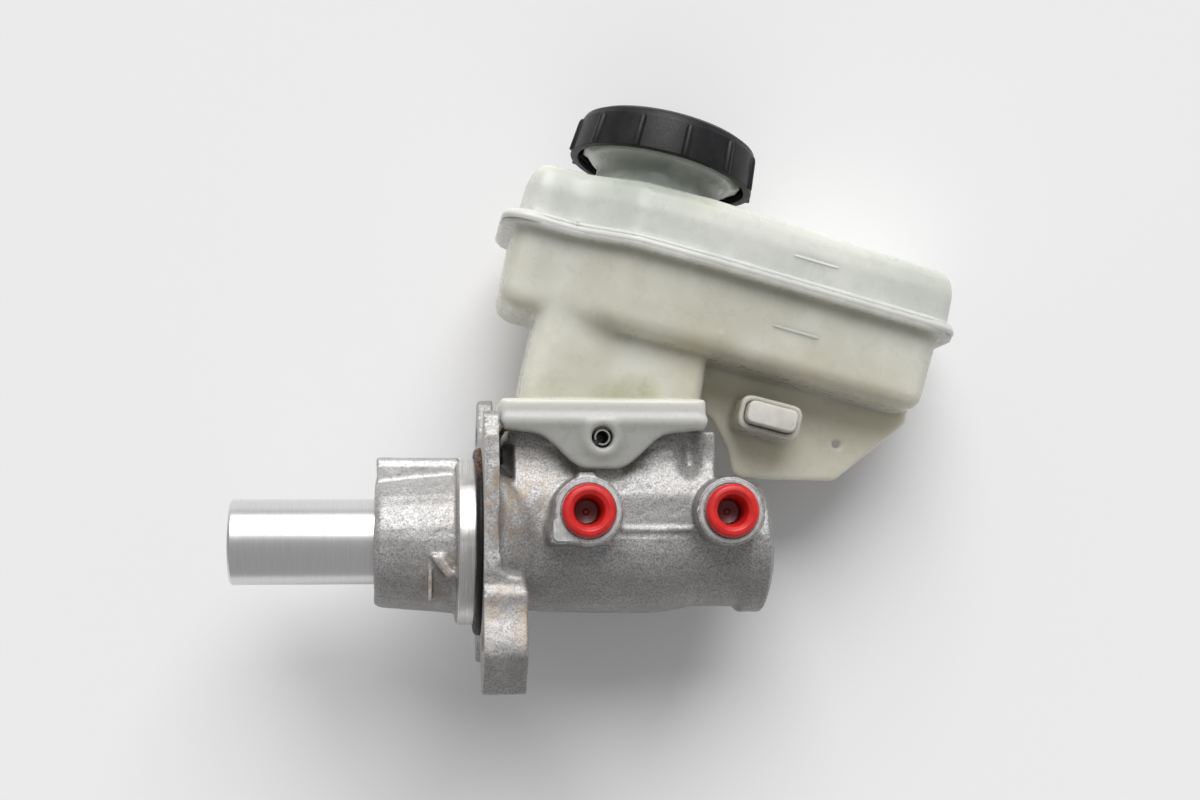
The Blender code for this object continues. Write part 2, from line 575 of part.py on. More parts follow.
def reservoir_insides(frame):
    prism("reservoir_baffle", [(-18.6, -20.4), (18.6, -20.4), (20.6, -15), (20.6, -3.2), (10, -3.2),
                               (8, -12), (-8, -12), (-10, -3.2), (-20.6, -3.2), (-20.6, -15)],
          "X", 2.0, 3.6, "natural_plastic", frame)
    turned("filler_strainer", [
        (5.0, 0), (5.0, 13.4), (6.2, 14.4), (26.0, 15.6), (27.0, 18.0), (34.0, 18.2), (34.9, 18.2),
        (34.9, 17.2), (28.0, 16.9), (27.2, 14.6), (7.0, 13.2), (6.4, 12.4), (6.4, 0)],
        "white_plastic", axis="Z", at=(CAP_S, 0, 0), steps=24, parent=frame)
    turned("level_float", [(-21.4, 0), (-21.4, 8.6), (-20.6, 9.4), (-14.6, 9.4), (-13.8, 8.6), (-13.8, 0)],
           "black_plastic", axis="Z", at=(18.5, 0, 0), parent=frame)
    # The reed switch that pushes into the tunnel beside the centre plate.
    sensor_tunnel("level_sensor", 1.8, -18.4, -3.2, frame, "white_plastic")


# ---------------------------------------------------------------- cap

def reservoir_cap(frame):
    low, high = CAP_RIM_T, CAP_RIM_T + CAP_HEIGHT
    inner = CAP_R - 3.2
    cap = turned("reservoir_cap", [
        (high - 2.4, 0), (high - 2.4, inner), (low, inner), (low, CAP_R - 0.9), (low + 0.4, CAP_R - 0.6),
        (high - 3.0, CAP_R - 1.9), (high - 1.2, CAP_R - 2.6), (high, CAP_R - 4.6), (high, 0)],
        "black_plastic", axis="Z", at=(CAP_S, 0, 0), steps=48, parent=frame)
    for k in range(12):
        angle = math.radians(-84 + 30 * k)
        rib = rod(f"cap_rib_{k}", 1.1, low, high - 2.6, axis="Z", steps=8, parent=frame,
                  at=(CAP_S + (CAP_R - 1.1) * math.cos(angle), (CAP_R - 1.1) * math.sin(angle), 0))
        join(cap, rib)
    return cap


def cap_seals(frame):
    """The ring that seals the cap on the neck, and the vented diaphragm that hangs into the neck."""
    ring("cap_gasket", 18.9, 23.4, NECK_TOP_T + GAP, NECK_TOP_T + 1.3, "rubber", axis="Z",
         at=(CAP_S, 0, 0), steps=MEDIUM, parent=frame)
    turned("cap_diaphragm", [(31.0, 0), (31.0, 9.2), (31.8, 9.9), (36.7, 10.8), (36.7, 22.0), (36.2, 22.0),
                             (36.2, 11.6), (31.2, 10.7), (30.2, 9.7), (30.2, 0)],
           "rubber", axis="Z", at=(CAP_S, 0, 0), parent=frame)


def main():
    clear_scene()
    cylinder_body()
    seals_and_guide()
    primary_piston_group()
    primary_spring_group()
    secondary_piston_group()
    port_plug("port_plug_rear", PORT_X[0])
    port_plug("port_plug_front", PORT_X[1])
    grommet("reservoir_grommet_rear", FEED_X[0])
    grommet("reservoir_grommet_front", FEED_X[1])
    roll_pin()
    frame = tilted_frame()
    lower_shell(frame)
    upper_shell(frame)
    reservoir_insides(frame)
    reservoir_cap(frame)
    cap_seals(frame)


main()
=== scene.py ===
"""The looks of a brake master cylinder and its fluid reservoir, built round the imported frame.

Sizes are in millimetres until a mesh is made. The axes are the frame's: +X along the bore to its
closed end, +Z up to the reservoir, and the outlet ports face -Y.
"""
import json
import math

import bmesh
import bpy
import numpy as np
from mathutils import Matrix, Vector, noise
from mathutils.bvhtree import BVHTree


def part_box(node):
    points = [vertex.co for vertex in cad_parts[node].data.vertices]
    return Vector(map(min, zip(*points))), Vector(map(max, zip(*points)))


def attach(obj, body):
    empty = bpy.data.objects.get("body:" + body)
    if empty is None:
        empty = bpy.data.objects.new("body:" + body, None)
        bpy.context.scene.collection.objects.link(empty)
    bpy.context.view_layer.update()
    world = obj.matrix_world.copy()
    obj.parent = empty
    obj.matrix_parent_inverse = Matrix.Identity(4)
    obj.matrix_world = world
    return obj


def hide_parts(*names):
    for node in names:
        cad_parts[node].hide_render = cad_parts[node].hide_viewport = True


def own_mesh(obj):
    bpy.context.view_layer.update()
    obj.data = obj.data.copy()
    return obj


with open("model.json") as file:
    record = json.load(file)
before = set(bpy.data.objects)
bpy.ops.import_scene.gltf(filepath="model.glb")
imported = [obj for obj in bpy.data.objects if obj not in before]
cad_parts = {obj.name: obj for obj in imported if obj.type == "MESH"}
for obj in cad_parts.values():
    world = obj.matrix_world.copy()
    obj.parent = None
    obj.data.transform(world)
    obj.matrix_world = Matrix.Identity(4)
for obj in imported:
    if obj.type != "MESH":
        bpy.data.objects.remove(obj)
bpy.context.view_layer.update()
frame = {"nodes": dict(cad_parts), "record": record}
NODES = frame["nodes"]
MM = 0.001
PER_METRE = 1000

# The tank's own frame is (s, y, t): s along its length, y across it and t up from the weld.
TILT = math.radians(14.1)
TANK = Matrix.Translation((74.0, 0, 73.2)) @ Matrix.Rotation(TILT, 4, "Y")
CAP_S = -28.9

# Places on the casting: outlet ports, feed towers, the reservoir's pin and the flange's upper stud.
PORT_X = (28.0, 66.9)
PORT_Z = 7.4
TOWER_X = (19.5, 48.6)
PIN_X, PIN_Z = 32.3, 27.6
STUD_Y, STUD_Z = 22.5, 29.5

CASTING_VOXEL = 0.5
TANK_VOXEL = 0.55

# A smoothing round pulls each point towards its neighbours, then swells the shape back.
PULL, SWELL = 0.55, -0.57
CASTING_ROUNDS = 12
TANK_ROUNDS = 18
PLAIN_ROUNDS = 8
MELT_ROUNDS = 70

NEARLY_STRAIGHT = math.pi - 0.02


# ---------------------------------------------------------------- mesh helpers

def in_scene(name, data):
    """Links a new object that holds a mesh, light or camera."""
    obj = bpy.data.objects.new(name, data)
    bpy.context.scene.collection.objects.link(obj)
    return obj


def new_object(name, mesh, material, body, slot, *replaced):
    """A visible piece that rides on a body and may stand in for CAD nodes."""
    obj = in_scene(name, mesh)
    mesh.materials.clear()
    mesh.materials.append(material)
    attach(obj, body)
    if replaced:
        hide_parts(*replaced)
    return obj


def mesh_of(bm, name, place=None, sharp=32):
    """Ends a bmesh built in millimetres: puts it in place and turns it into metres."""
    if place is not None:
        bmesh.ops.transform(bm, matrix=place, verts=bm.verts)
    bmesh.ops.recalc_face_normals(bm, faces=bm.faces)
    bmesh.ops.scale(bm, vec=(MM, MM, MM), verts=bm.verts)
    mesh = bpy.data.meshes.new(name)
    bm.to_mesh(mesh)
    bm.free()
    mesh.shade_smooth()
    mesh.set_sharp_from_angle(angle=math.radians(sharp))
    return mesh


def eased(points, segments=4):
    """Rounds the corners of a run of (a, b, radius) points; a radius of 0 leaves a corner sharp."""
    out = []
    count = len(points)
    for k, (a, b, radius) in enumerate(points):
        here = Vector((a, b))
        before, after = Vector(points[k - 1][:2]) - here, Vector(points[(k + 1) % count][:2]) - here
        rounded = radius > 0 and min(before.length, after.length) >= 1e-6
        angle = before.angle(after) if rounded else math.pi
        if angle > NEARLY_STRAIGHT:
            out.append((a, b))
            continue
        reach = min(radius / math.tan(angle / 2), before.length * 0.49, after.length * 0.49)
        p, q = here + before.normalized() * reach, here + after.normalized() * reach
        for step in range(segments + 1):
            t = step / segments
            out.append(tuple(p * (1 - t) ** 2 + here * 2 * t * (1 - t) + q * t * t))
    return out


AXES = {"X": Matrix.Identity(4),
        "-Y": Matrix.Rotation(math.radians(-90), 4, "Z"),
        "Z": Matrix.Rotation(math.radians(-90), 4, "Y")}


def lathe(name, outline, axis="X", place=None, steps=96, segments=4, sharp=32):
    """A solid of revolution about axis from (along, radius, corner radius) points."""
    bm = bmesh.new()
    run = eased(outline, segments)
    open_run = outline[0][1] == 0
    points = [bm.verts.new((a, 0, max(r, 0))) for a, r in run]
    edges = [bm.edges.new(pair) for pair in zip(points, points[1:])]
    if not open_run:
        edges.append(bm.edges.new((points[-1], points[0])))
    bmesh.ops.spin(bm, geom=points + edges, cent=(0, 0, 0), axis=(1, 0, 0), dvec=(0, 0, 0),
                   angle=math.tau, steps=steps, use_merge=True, use_duplicate=False)
    bmesh.ops.remove_doubles(bm, verts=bm.verts, dist=1e-4)
    return mesh_of(bm, name, (place or Matrix.Identity(4)) @ AXES[axis], sharp)


def skin(bm, loops):
    """Joins closed loops of vertices, one after another, into a tube, and returns its faces."""
    faces = []
    for one, two in zip(loops, loops[1:]):
        for n in range(len(one)):
            m = (n + 1) % len(one)
            faces.append(bm.faces.new((one[n], one[m], two[m], two[n])))
    return faces


def capped_skin(bm, loops):
    """A tube with both of its ends closed."""
    return skin(bm, loops) + [bm.faces.new(loops[0]), bm.faces.new(loops[-1])]


def add_prism(bm, outline, axis, low, high, matrix=None):
    """Adds a straight-sided solid to bm: (y, z) pushed along X, (x, z) along Y, (x, y) along Z."""
    order = {"X": (2, 0, 1), "Y": (0, 2, 1), "Z": (0, 1, 2)}[axis]
    loops = [[bm.verts.new([(a, b, c)[k] for k in order]) for a, b in outline] for c in (low, high)]
    faces = capped_skin(bm, loops)
    if matrix is not None:
        bmesh.ops.transform(bm, matrix=matrix, verts=loops[0] + loops[1])
    bmesh.ops.recalc_face_normals(bm, faces=faces)


def add_ball(bm, centre, radii, least_x=-1e6):
    """Adds an ellipsoid, used to fill corners and swell bosses; it is flat at least_x."""
    matrix = Matrix.Translation(centre) @ Matrix.Diagonal((*radii, 1))
    for v in bmesh.ops.create_icosphere(bm, subdivisions=4, radius=1, matrix=matrix)["verts"]:
        v.co.x = max(v.co.x, least_x)


def cad_bmesh(node):
    """A welded copy of a CAD node's mesh, in millimetres."""
    bm = bmesh.new()
    bm.from_mesh(NODES[node].data)
    bmesh.ops.scale(bm, vec=(PER_METRE,) * 3, verts=bm.verts)
    bmesh.ops.remove_doubles(bm, verts=bm.verts, dist=1e-3)
    return bm


def after_modifiers(obj):
    """Removes obj and returns the mesh that its modifiers make."""
    shape = bpy.data.meshes.new_from_object(obj.evaluated_get(bpy.context.evaluated_depsgraph_get()))
    bpy.data.objects.remove(obj)
    return shape


def remeshed(name, bm, voxel):
    """Runs a voxel remesh over everything in bm and returns a mesh in metres."""
    obj = in_scene(name + "_raw", mesh_of(bm, name + "_raw"))
    step = obj.modifiers.new("remesh", "REMESH")
    step.mode = "VOXEL"
    step.voxel_size = voxel * MM
    step.use_smooth_shade = True
    shape = after_modifiers(obj)
    shape.name = name
    return shape


def points_of(mesh):
    """The mesh's vertices as rows of (x, y, z), in metres."""
    co = np.empty(len(mesh.vertices) * 3)
    mesh.vertices.foreach_get("co", co)
    return co.reshape(-1, 3)


def put_points(mesh, co):
    mesh.vertices.foreach_set("co", co.ravel())
    mesh.update()


def put_in_box(mesh, co, node):
    """Puts the points, none of them outside the CAD node's own box."""
    low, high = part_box(node)
    put_points(mesh, np.clip(co, np.array(low), np.array(high)))


def ramp(value, low, high):
    """0 at low, 1 at high, soft at both ends."""
    t = np.clip((value - low) / (high - low), 0, 1)
    return t * t * (3 - 2 * t)


def relax(mesh, rounds, hold=None, swell=SWELL):
    """Evens out a dense mesh; hold is 1 where a vertex stays put, and swell undoes the shrinking."""
    co = points_of(mesh)
    edges = np.empty(len(mesh.edges) * 2, dtype=np.int64)
    mesh.edges.foreach_get("vertices", edges)
    a, b = edges.reshape(-1, 2).T
    count = np.bincount(a, minlength=len(co)) + np.bincount(b, minlength=len(co))
    free = np.ones(len(co)) if hold is None else 1 - hold
    for _ in range(rounds):
        for weight in (PULL, swell):
            mean = np.stack([np.bincount(a, co[b, i], len(co)) + np.bincount(b, co[a, i], len(co))
                             for i in range(3)], 1) / count[:, None]
            co = co + (mean - co) * (weight * free)[:, None]
    put_points(mesh, co)
    return co


def melted(mesh, co, spots):
    """Lets a mesh flow together round each (centre, reach), in millimetres."""
    free = np.zeros(len(co))
    for centre, reach in spots:
        away = np.linalg.norm(co * PER_METRE - np.array(centre), axis=1)
        free = np.maximum(free, ramp(reach - away, 0, reach * 0.5))
    return relax(mesh, MELT_ROUNDS, 1 - free, 0.0)


def smooth_all(mesh):
    mesh.shade_smooth()
    return mesh


# ---------------------------------------------------------------- material helpers

class Paint:
    """A Principled material with its nodes made by short calls. Positions are in millimetres."""

    def __init__(self, name, colour, roughness, metallic=0.0):
        self.mat = bpy.data.materials.new(name)
        self.mat.use_nodes = True
        self.tree = self.mat.node_tree
        self.shader = self.tree.nodes["Principled BSDF"]
        self.set("Base Color", (*colour, 1))
        self.set("Roughness", roughness)
        self.set("Metallic", metallic)
        self.mat.diffuse_color = (*colour, 1)
        where = self.tree.nodes.new("ShaderNodeTexCoord")
        scale = self.tree.nodes.new("ShaderNodeVectorMath")
        scale.operation = "SCALE"
        scale.inputs["Scale"].default_value = PER_METRE
        self.link(where.outputs["Object"], scale.inputs[0])
        self.where = scale.outputs[0]
        split = self.tree.nodes.new("ShaderNodeSeparateXYZ")
        self.link(self.where, split.inputs[0])
        self.x, self.y, self.z = split.outputs

    def set(self, socket, value):
        self.shader.inputs[socket].default_value = value

    def link(self, a, b):
        self.tree.links.new(a, b)

    def to(self, socket, value):
        self.link(value, self.shader.inputs[socket])

    def noise(self, size, detail=2.0, rough=0.5, stretch=None):
        """Noise whose blotches are about size mm across, from 0 to 1."""
        node = self.tree.nodes.new("ShaderNodeTexNoise")
        node.inputs["Scale"].default_value = 1.0 / size
        node.inputs["Detail"].default_value = detail
        node.inputs["Roughness"].default_value = rough
        where = self.where
        if stretch:
            mapping = self.tree.nodes.new("ShaderNodeMapping")
            mapping.inputs["Scale"].default_value = stretch
            self.link(where, mapping.inputs["Vector"])
            where = mapping.outputs[0]
        self.link(where, node.inputs["Vector"])
        return node.outputs[0]

    def math(self, operation, a, b=None):
        node = self.tree.nodes.new("ShaderNodeMath")
        node.operation = operation
        for k, value in enumerate((a, b)):
            if value is None:
                continue
            if isinstance(value, (int, float)):
                node.inputs[k].default_value = value
            else:
                self.link(value, node.inputs[k])
        return node.outputs[0]

    def span(self, value, low, high, to_low=0.0, to_high=1.0):
        """Maps low..high onto to_low..to_high with soft ends, clamped."""
        node = self.tree.nodes.new("ShaderNodeMapRange")
        node.interpolation_type = "SMOOTHSTEP"
        node.inputs["From Min"].default_value = low
        node.inputs["From Max"].default_value = high
        node.inputs["To Min"].default_value = to_low
        node.inputs["To Max"].default_value = to_high
        self.link(value, node.inputs["Value"])
        return node.outputs[0]

    def mix(self, fac, a, b):
        node = self.tree.nodes.new("ShaderNodeMix")
        node.data_type = "RGBA"
        for socket, value in ((0, fac), (6, a), (7, b)):
            if isinstance(value, (int, float)):
                node.inputs[socket].default_value = value
            elif isinstance(value, tuple):
                node.inputs[socket].default_value = (*value, 1)
            else:
                self.link(value, node.inputs[socket])
        return node.outputs[2]

    def bump(self, height, strength, depth):
        """depth is in millimetres."""
        node = self.tree.nodes.new("ShaderNodeBump")
        node.inputs["Strength"].default_value = strength
        node.inputs["Distance"].default_value = depth * MM
        self.link(height, node.inputs["Height"])
        previous = self.shader.inputs["Normal"]
        if previous.is_linked:
            self.link(previous.links[0].from_socket, node.inputs["Normal"])
        self.to("Normal", node.outputs[0])

    def near(self, x, y, z, reach):
        """1 at a point, in millimetres, fading to 0 at reach."""
        node = self.tree.nodes.new("ShaderNodeVectorMath")
        node.operation = "DISTANCE"
        node.inputs[1].default_value = (x, y, z)
        self.link(self.where, node.inputs[0])
        return self.span(node.outputs["Value"], reach * 0.25, reach, 1, 0)


def cast_aluminium():
    """Sand-cast alloy: a painted highlight on the sleeve's top, painted shade past the flange that deepens
    towards the closed end and under the barrel, and brown stains by the flange, one of them partly painted
    shade.
    """
    p = Paint("cast_aluminium_look", (0.48, 0.47, 0.46), 0.5, 0.6)
    grain = p.noise(0.55, 4, 0.75)
    fine = p.noise(0.2, 1, 0.5)
    base = p.mix(p.span(grain, 0.36, 0.62), (0.42, 0.41, 0.40), (0.74, 0.735, 0.73))
    # painted highlight: the colour is lightened along the sleeve's top, where the key light falls
    painted_sleeve_highlight = p.math("MULTIPLY", p.span(p.z, 11, 19), p.span(p.x, -4, -9))
    base = p.mix(p.math("MULTIPLY", painted_sleeve_highlight, 0.7), base, (0.90, 0.895, 0.89))
    # painted shade: the colour is darkened on the body past the flange, more towards the closed end
    painted_body_shade = p.span(p.x, 3, 8, 0, 0.66)
    painted_body_shade = p.math("MAXIMUM", painted_body_shade, p.span(p.x, 52, 68, 0.5, 0.78))
    base = p.mix(painted_body_shade, base, p.mix(p.span(grain, 0.36, 0.62), (0.13, 0.125, 0.12), (0.34, 0.335, 0.33)))
    base = p.mix(p.span(p.noise(8, 3, 0.6), 0.35, 0.72, 0.0, 0.35), base, (0.33, 0.31, 0.29))
    base = p.mix(p.span(p.noise(0.8, 3, 0.75), 0.56, 0.68, 0.0, 0.6), base, (0.12, 0.11, 0.10))
    # painted shade: the colour is darkened on the underside, below the barrel's middle, with a noisy edge
    low = p.math("MULTIPLY", p.span(p.z, -2, -12), p.span(p.noise(5, 3, 0.65), 0.3, 0.7, 0.1, 0.45))
    base = p.mix(low, base, (0.25, 0.235, 0.225))
    stain_and_shade = p.math("MULTIPLY", p.span(p.noise(6, 3, 0.6), 0.42, 0.66),
                   p.math("MAXIMUM", p.near(7, -31, -20, 15), p.near(-10, -16, -12, 13)))
    # the patch on the block's near side is a brown stain and also painted shade where the block faces the
    # key light
    stain_and_shade = p.math("MAXIMUM", stain_and_shade, p.math("MULTIPLY", p.span(p.noise(4, 3, 0.6), 0.42, 0.6),
                                            p.near(5, -26, 12, 22)))
    base = p.mix(p.math("MULTIPLY", stain_and_shade, 0.6), base, (0.34, 0.26, 0.19))
    p.to("Base Color", base)
    p.to("Roughness", p.span(fine, 0.3, 0.7, 0.40, 0.58))
    p.bump(grain, 0.6, 0.14)
    p.bump(p.noise(2.0, 2, 0.5), 0.3, 0.2)
    return p.mat


def machined_aluminium():
    p = Paint("machined_aluminium", (0.66, 0.645, 0.62), 0.34, 0.9)
    lines = p.noise(0.5, 2, 0.5, stretch=(3.0, 0.06, 0.06))
    p.to("Base Color", p.mix(p.span(lines, 0.3, 0.7), (0.56, 0.54, 0.51), (0.74, 0.73, 0.71)))
    p.to("Roughness", p.span(p.noise(3, 2, 0.5), 0.3, 0.7, 0.28, 0.42))
    p.bump(lines, 0.25, 0.03)
    return p.mat


def milled_face():
    """Port faces, cut with a flat cutter."""
    p = Paint("milled_face", (0.62, 0.62, 0.61), 0.36, 0.85)
    swirl = p.noise(0.6, 2, 0.5, stretch=(1, 0.1, 0.25))
    p.to("Base Color", p.mix(p.span(swirl, 0.3, 0.7), (0.55, 0.55, 0.54), (0.70, 0.70, 0.69)))
    p.to("Roughness", p.span(p.noise(2, 2, 0.5), 0.3, 0.7, 0.32, 0.45))
    p.bump(swirl, 0.2, 0.03)
    return p.mat


def brushed_aluminium():
    p = Paint("brushed_aluminium", (0.80, 0.80, 0.80), 0.24, 1.0)
    lines = p.noise(0.35, 3, 0.6, stretch=(6.0, 0.05, 0.05))
    wear = p.noise(7, 3, 0.6)
    p.to("Base Color", p.mix(p.span(lines, 0.3, 0.7), (0.70, 0.69, 0.68), (0.80, 0.80, 0.80)))
    p.to("Roughness", p.math("ADD", p.span(lines, 0.2, 0.8, 0.27, 0.33), p.span(wear, 0.5, 0.8, 0.0, 0.05)))
    p.bump(lines, 0.06, 0.01)
    return p.mat


def steel():
    colour = (0.50, 0.50, 0.51)
    p = Paint("drawn_steel", colour, 0.3, 1.0)
    soil = p.noise(1.6, 3, 0.6)
    p.to("Base Color", p.mix(p.span(soil, 0.35, 0.7), colour, tuple(0.55 * c for c in colour)))
    p.to("Roughness", p.span(soil, 0.3, 0.7, 0.24, 0.42))
    p.bump(p.noise(0.4, 2, 0.5), 0.2, 0.03)
    return p.mat


def rubber(name="black_rubber", dirty=False):
    p = Paint(name, (0.012, 0.012, 0.013), 0.5)
    p.set("Specular IOR Level", 0.25)
    dust = p.span(p.noise(0.9, 3, 0.7), 0.45, 0.75)
    base = p.mix(dust, (0.007, 0.007, 0.008), (0.02, 0.019, 0.018))
    if dirty:
        top = p.near(-0.5, -10, 26, 19)
        rust = p.math("MULTIPLY", p.span(p.noise(0.9, 3, 0.7), 0.44, 0.58), top)
        base = p.mix(rust, base, (0.20, 0.11, 0.055))
        p.bump(p.math("MULTIPLY", p.noise(0.7, 2, 0.6), top), 0.8, 0.5)
    p.to("Base Color", base)
    p.to("Roughness", p.span(p.noise(0.6, 2, 0.5), 0.3, 0.7, 0.38, 0.6))
    p.bump(p.noise(0.35, 2, 0.5), 0.25, 0.05)
    return p.mat


def red_plastic():
    p = Paint("red_plastic", (0.72, 0.022, 0.022), 0.34)
    p.set("Subsurface Weight", 0.35)
    p.set("Subsurface Radius", (1.0, 0.12, 0.1))
    p.set("Subsurface Scale", 1.2 * MM)
    # painted shade: the colour is darkened deep inside the plug's hole
    painted_hole_shade = p.span(p.y, -27.5, -22.5)
    tone = p.mix(p.span(p.noise(3, 2, 0.5), 0.3, 0.7), (0.54, 0.013, 0.012), (0.64, 0.022, 0.020))
    p.to("Base Color", p.mix(painted_hole_shade, tone, (0.20, 0.016, 0.010)))
    p.to("Roughness", p.span(p.noise(1.2, 3, 0.6), 0.3, 0.75, 0.27, 0.42))
    p.bump(p.noise(0.8, 3, 0.5), 0.15, 0.05)
    return p.mat


def natural_plastic(name, low, high, stains=(), depth=7.0):
    """Uncoloured moulded plastic that light gets depth mm into.

    Stains are (x, y, z, reach, strength, colour), in millimetres.
    """
    p = Paint(name, high, 0.3)
    p.set("Subsurface Weight", 1.0 if depth > 1 else 0.2)
    p.set("Subsurface Radius", (1.0, 0.97, 0.82))
    p.set("Subsurface Scale", depth * MM)
    p.set("IOR", 1.42)
    base = p.mix(p.span(p.noise(26, 3, 0.55), 0.32, 0.68), low, high)
    for x, y, z, reach, strength, colour in stains:
        patch = p.math("MULTIPLY", p.near(x, y, z, reach), strength)
        patch = p.math("MULTIPLY", patch, p.span(p.noise(7, 3, 0.6), 0.3, 0.62, 0.5, 1))
        base = p.mix(patch, base, colour)
    across = p.math("ABSOLUTE", p.y)
    skirt = p.math("MULTIPLY", p.span(p.z, 38.6, 36.8), p.span(across, 14, 20))
    base = p.mix(skirt, base, p.mix(p.span(p.z, 33.0, 30.5), (0.53, 0.53, 0.50), (0.35, 0.35, 0.33)))
    tunnel = p.math("MULTIPLY", p.near(80.7, -11, 34.4, 19), 0.9)
    base = p.mix(tunnel, base, (0.42, 0.40, 0.355))
    # painted shade: the colour is darkened round the filler neck, where the cap shades it
    painted_cap_shade = p.math("MULTIPLY", p.near(51.8, -8, 101, 25), p.span(p.noise(9, 2, 0.5), 0.3, 0.6, 0.5, 0.85))
    base = p.mix(painted_cap_shade, base, (0.24, 0.275, 0.23))
    # painted shade: the colour is darkened on the plate under the tank
    painted_plate_shade = p.math("MULTIPLY", p.span(across, 3.0, 1.8), p.span(p.z, 44, 38))
    base = p.mix(p.math("MULTIPLY", painted_plate_shade, 0.8), base, (0.55, 0.53, 0.46))
    smudge = p.math("MULTIPLY", p.near(25.5, -25, 87.8, 3.4), p.span(p.noise(0.8, 2, 0.6), 0.42, 0.5))
    specks = p.math("MULTIPLY", p.near(49, -24, 92, 4), p.span(p.noise(0.6, 3, 0.7), 0.6, 0.7, 0, 0.6))
    base = p.mix(p.math("MAXIMUM", smudge, specks), base, (0.05, 0.045, 0.035))
    p.to("Base Color", base)
    p.to("Roughness", p.span(p.noise(4, 3, 0.6), 0.3, 0.7, 0.24, 0.38))
    p.bump(p.noise(14, 2, 0.5), 0.2, 0.5)
    p.bump(p.noise(0.5, 2, 0.5), 0.08, 0.02)
    return p.mat


def white_plastic():
    p = Paint("white_plastic", (0.78, 0.77, 0.73), 0.4)
    p.set("Subsurface Weight", 0.2)
    p.set("Subsurface Scale", 1.0 * MM)
    tone = p.mix(p.span(p.noise(5, 3, 0.6), 0.3, 0.7), (0.52, 0.50, 0.45), (0.60, 0.585, 0.54))
    p.to("Base Color", p.mix(p.span(p.noise(0.9, 2, 0.5), 0.70, 0.76, 0, 0.6), tone, (0.10, 0.09, 0.07)))
    p.bump(p.noise(0.6, 2, 0.5), 0.12, 0.03)
    return p.mat


def black_plastic():
    colour = (0.009, 0.009, 0.010)
    p = Paint("black_plastic", colour, 0.4)
    p.set("Specular IOR Level", 0.28)
    wear = p.noise(5, 3, 0.6)
    p.to("Base Color", p.mix(p.span(wear, 0.4, 0.75), colour, tuple(1.9 * c for c in colour)))
    p.to("Roughness", p.span(p.noise(0.5, 2, 0.5), 0.3, 0.7, 0.36, 0.50))
    p.bump(p.noise(0.32, 2, 0.5), 0.3, 0.05)
    return p.mat


CAST = cast_aluminium()
MACHINED = machined_aluminium()
MILLED = milled_face()
BRUSHED = brushed_aluminium()
STEEL = steel()
RUBBER = rubber()
RED = red_plastic()
WHITE = white_plastic()
BLACK = black_plastic()
GREEN = (0.40, 0.40, 0.26)
SAND = (0.50, 0.44, 0.30)
LOWER_PLASTIC = natural_plastic("natural_plastic_lower", (0.56, 0.55, 0.46), (0.70, 0.69, 0.60), (
    (43, -18, 39, 9, 0.75, GREEN), (36, -18, 38, 8, 0.6, GREEN), (60, -22, 50, 16, 0.35, SAND),
    (88, -20, 42, 18, 0.4, SAND), (66, -10, 36, 14, 0.6, SAND), (110, -18, 36, 16, 0.35, SAND)))
UPPER_PLASTIC = natural_plastic("natural_plastic_upper", (0.54, 0.56, 0.51), (0.66, 0.67, 0.61), (
    (45, -10, 98, 20, 0.45, (0.42, 0.47, 0.38)), (60, -22, 94, 9, 0.25, GREEN)))
TRIM_PLASTIC = natural_plastic("natural_plastic_trim", (0.58, 0.585, 0.545), (0.68, 0.68, 0.63), depth=0.8)

FINISH = {"cast_aluminium": CAST, "aluminium": BRUSHED, "steel": STEEL, "rubber": RUBBER, "red_plastic": RED,
          "natural_plastic": LOWER_PLASTIC, "white_plastic": WHITE, "black_plastic": BLACK}
for part in frame["record"]["subparts"]:
    node = NODES[part["node"]]
    node.data.materials.clear()
    node.data.materials.append(FINISH[part["material_slot"]])


# ---------------------------------------------------------------- casting

def cutter(outline, axis="X", place=None, steps=72):
    """A hidden turned tool that a Boolean takes out of the casting."""
    obj = in_scene("cutter", lathe("cutter", outline, axis, place, steps=steps, segments=3))
    obj.hide_render = True
    obj.display_type = "WIRE"
    return obj


def cut_away(mesh, tools):
    """Takes the tools out of a mesh and returns what is left."""
    obj = in_scene("cut", mesh)
    for tool in tools:
        step = obj.modifiers.new("cut", "BOOLEAN")
        step.object = tool
        step.operation = "DIFFERENCE"
        step.solver = "MANIFOLD"
    left = after_modifiers(obj)
    for tool in tools:
        bpy.data.objects.remove(tool)
    left.name = mesh.name
    return left


